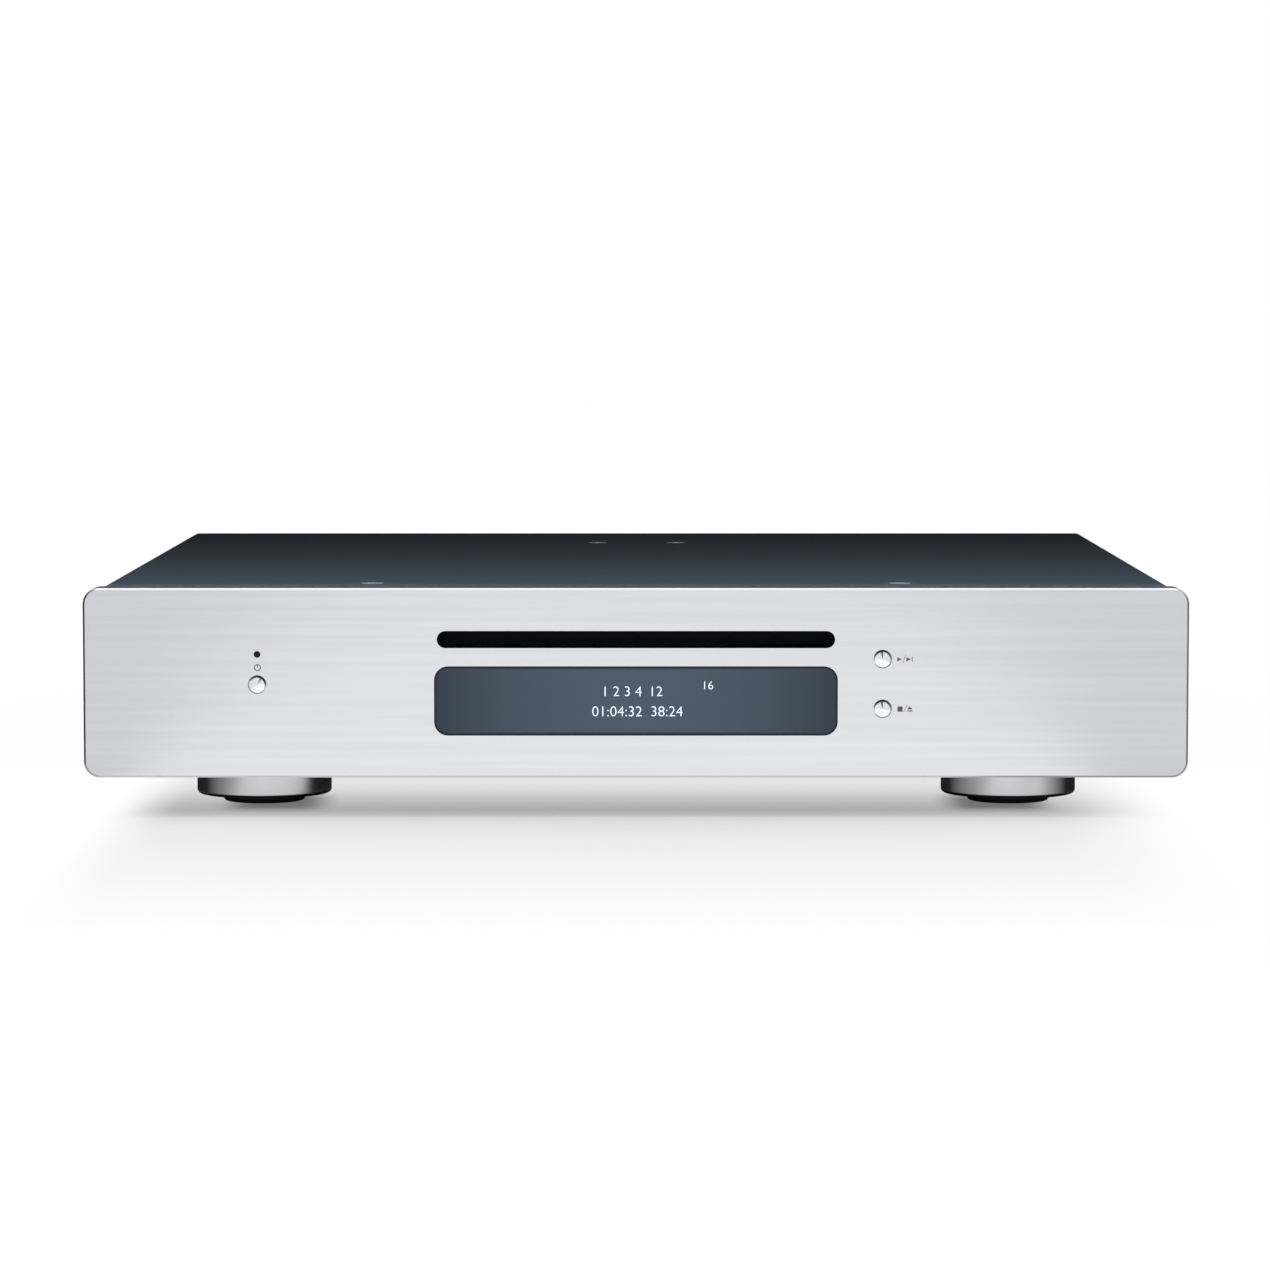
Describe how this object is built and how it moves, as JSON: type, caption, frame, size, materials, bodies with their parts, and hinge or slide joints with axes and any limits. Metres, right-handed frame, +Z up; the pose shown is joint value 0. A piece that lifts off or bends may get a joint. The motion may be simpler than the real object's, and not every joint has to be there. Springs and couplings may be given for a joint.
{
  "type": "disc player",
  "caption": "Slim tray-loading disc player with a floating aluminium front panel, folded steel case, display, push keys and round feet.",
  "frame": {"origin": "on the floor under the middle of the whole player, feet, keys and rear socket included", "axes": "+Z up; the front panel faces -Y; +X to the right seen from the front"},
  "size_m": [0.35, 0.329, 0.073],
  "materials": {
    "brushed_panel": "brushed, anodised",
    "display_glass": "tinted acrylic",
    "board_green": "solder resist",
    "black_plastic": "moulded",
    "light_lens": "smoked acrylic",
    "chassis_steel": "zinc plated",
    "turned_aluminium": "turned, anodised",
    "cover_paint": "satin blue-black powder coat",
    "rubber": "matte",
    "tray_plastic": "fine moulded texture",
    "tray_gloss": "gloss",
    "gear_plastic": "natural acetal",
    "motor_steel": "nickel plated",
    "screw_steel": "zinc plated",
    "sled_grey": "die-cast look",
    "lens_glass": "coated",
    "board_tan": "phenolic",
    "transformer_tape": "taped winding on a ferrite core",
    "capacitor_sleeve": "shrink sleeve",
    "gold_plate": "gold plated",
    "brass": "turned",
    "ribbon_white": "flat cable",
    "wire_brown": "insulated",
    "cover_screw_black": "black oxide"
  },
  "bodies": {
    "case": {"front_panel": "brushed_panel", "display_window": "display_glass", "display_module": "board_green", "button_boards": "board_green", "tact_switches": "black_plastic", "status_lens": "light_lens", "front_frame": "chassis_steel", "panel_spacers": "turned_aluminium", "chassis_base": "cover_paint", "rear_panel": "cover_paint", "top_cover": "cover_paint", "cover_bracket": "chassis_steel", "feet": "turned_aluminium", "foot_pads": "rubber", "loader_frame": "black_plastic", "loading_belt": "rubber", "loading_motor": "motor_steel", "clamp_bridge": "motor_steel", "main_board": "board_green", "power_board": "board_tan", "power_transformer": "transformer_tape", "capacitors": "capacitor_sleeve", "mains_inlet": "black_plastic", "inlet_pins": "screw_steel", "rocker_housing": "black_plastic", "coax_socket": "gold_plate", "optical_socket": "black_plastic", "trigger_sockets": "black_plastic", "standoffs": "brass", "display_ribbon": "ribbon_white", "wiring": "wire_brown", "machine_screws": "screw_steel", "cover_screws": "cover_screw_black", "foot_screws": "screw_steel"},
    "tray": {"disc_tray": "tray_plastic", "tray_front": "tray_gloss"},
    "drive_gear": {"drive_gear": "gear_plastic"},
    "pulley_gear": {"pulley_gear": "gear_plastic"},
    "motor_pulley": {"motor_pulley": "gear_plastic"},
    "cam_slider": {"cam_slider": "gear_plastic"},
    "traverse": {"traverse_cradle": "black_plastic", "traverse_plate": "motor_steel", "traverse_grommets": "rubber", "traverse_screws": "screw_steel", "spindle_motor": "motor_steel", "guide_rods": "screw_steel", "sled_motor": "motor_steel"},
    "turntable": {"turntable": "black_plastic"},
    "clamp_puck": {"clamp_puck": "black_plastic"},
    "pickup": {"pickup_sled": "sled_grey", "objective_lens": "lens_glass"},
    "sled_gear": {"sled_gear": "gear_plastic"},
    "motor_pinion": {"motor_pinion": "gear_plastic"},
    "standby_button": {"standby_button": "turned_aluminium", "standby_plunger": "black_plastic"},
    "play_button": {"play_button": "turned_aluminium", "play_plunger": "black_plastic"},
    "stop_button": {"stop_button": "turned_aluminium", "stop_plunger": "black_plastic"},
    "power_rocker": {"power_rocker": "tray_gloss"}
  },
  "joints": [
    {"name": "tray_slide", "type": "slide", "parent": "case", "child": "tray", "axis": [0, -1, 0], "range_m": [0, 0.138]},
    {"name": "drive_gear_spin", "type": "hinge", "parent": "case", "child": "drive_gear", "pos_m": [-0.0504, -0.1285, 0.0493], "axis": [0, 0, 1], "range_deg": [0, 1236]},
    {"name": "pulley_gear_spin", "type": "hinge", "parent": "case", "child": "pulley_gear", "pos_m": [-0.03595, -0.1285, 0.047], "axis": [0, 0, 1], "range_deg": [-3707, 0]},
    {"name": "motor_pulley_spin", "type": "hinge", "parent": "case", "child": "motor_pulley", "pos_m": [0.00605, -0.1285, 0.047], "axis": [0, 0, 1], "range_deg": [-14085, 0]},
    {"name": "traverse_tilt", "type": "hinge", "parent": "case", "child": "traverse", "pos_m": [0, 0.0065, 0.047], "axis": [1, 0, 0], "range_deg": [0, 3]},
    {"name": "cam_slide", "type": "slide", "parent": "case", "child": "cam_slider", "axis": [1, 0, 0], "range_m": [0, 0.0161]},
    {"name": "turntable_spin", "type": "hinge", "parent": "traverse", "child": "turntable", "pos_m": [0, -0.0885, 0.0581], "axis": [0, 0, 1], "continuous": true},
    {"name": "clamp_spin", "type": "hinge", "parent": "case", "child": "clamp_puck", "pos_m": [0, -0.0885, 0.0607], "axis": [0, 0, 1], "continuous": true},
    {"name": "pickup_slide", "type": "slide", "parent": "traverse", "child": "pickup", "axis": [0, 1, 0], "range_m": [0, 0.033]},
    {"name": "sled_gear_spin", "type": "hinge", "parent": "traverse", "child": "sled_gear", "pos_m": [0.0236, -0.0455, 0.0477], "axis": [0, 0, 1], "range_deg": [-474, 0]},
    {"name": "motor_pinion_spin", "type": "hinge", "parent": "traverse", "child": "motor_pinion", "pos_m": [0.02929, -0.03981, 0.0477], "axis": [0, 0, 1], "range_deg": [0, 1041]},
    {"name": "standby_press", "type": "slide", "parent": "case", "child": "standby_button", "axis": [0, 1, 0], "range_m": [0, 0.0006], "stiffness_N_per_m": 800, "springref_m": -0.0005},
    {"name": "play_press", "type": "slide", "parent": "case", "child": "play_button", "axis": [0, 1, 0], "range_m": [0, 0.0006], "stiffness_N_per_m": 800, "springref_m": -0.0005},
    {"name": "stop_press", "type": "slide", "parent": "case", "child": "stop_button", "axis": [0, 1, 0], "range_m": [0, 0.0006], "stiffness_N_per_m": 800, "springref_m": -0.0005},
    {"name": "rocker_swing", "type": "hinge", "parent": "case", "child": "power_rocker", "pos_m": [-0.092, 0.1525, 0.044], "axis": [1, 0, 0], "range_deg": [0, 22]}
  ],
  "couplings": [
    {"joint": "drive_gear_spin", "follows": "tray_slide", "rad_per_m": 156.25},
    {"joint": "pulley_gear_spin", "follows": "tray_slide", "rad_per_m": -468.75},
    {"joint": "motor_pulley_spin", "follows": "tray_slide", "rad_per_m": -1781.2},
    {"joint": "cam_slide", "follows": "traverse_tilt", "m_per_rad": 0.30558},
    {"joint": "clamp_spin", "follows": "turntable_spin", "ratio": 1},
    {"joint": "sled_gear_spin", "follows": "pickup_slide", "rad_per_m": -250},
    {"joint": "motor_pinion_spin", "follows": "pickup_slide", "rad_per_m": 550}
  ]
}
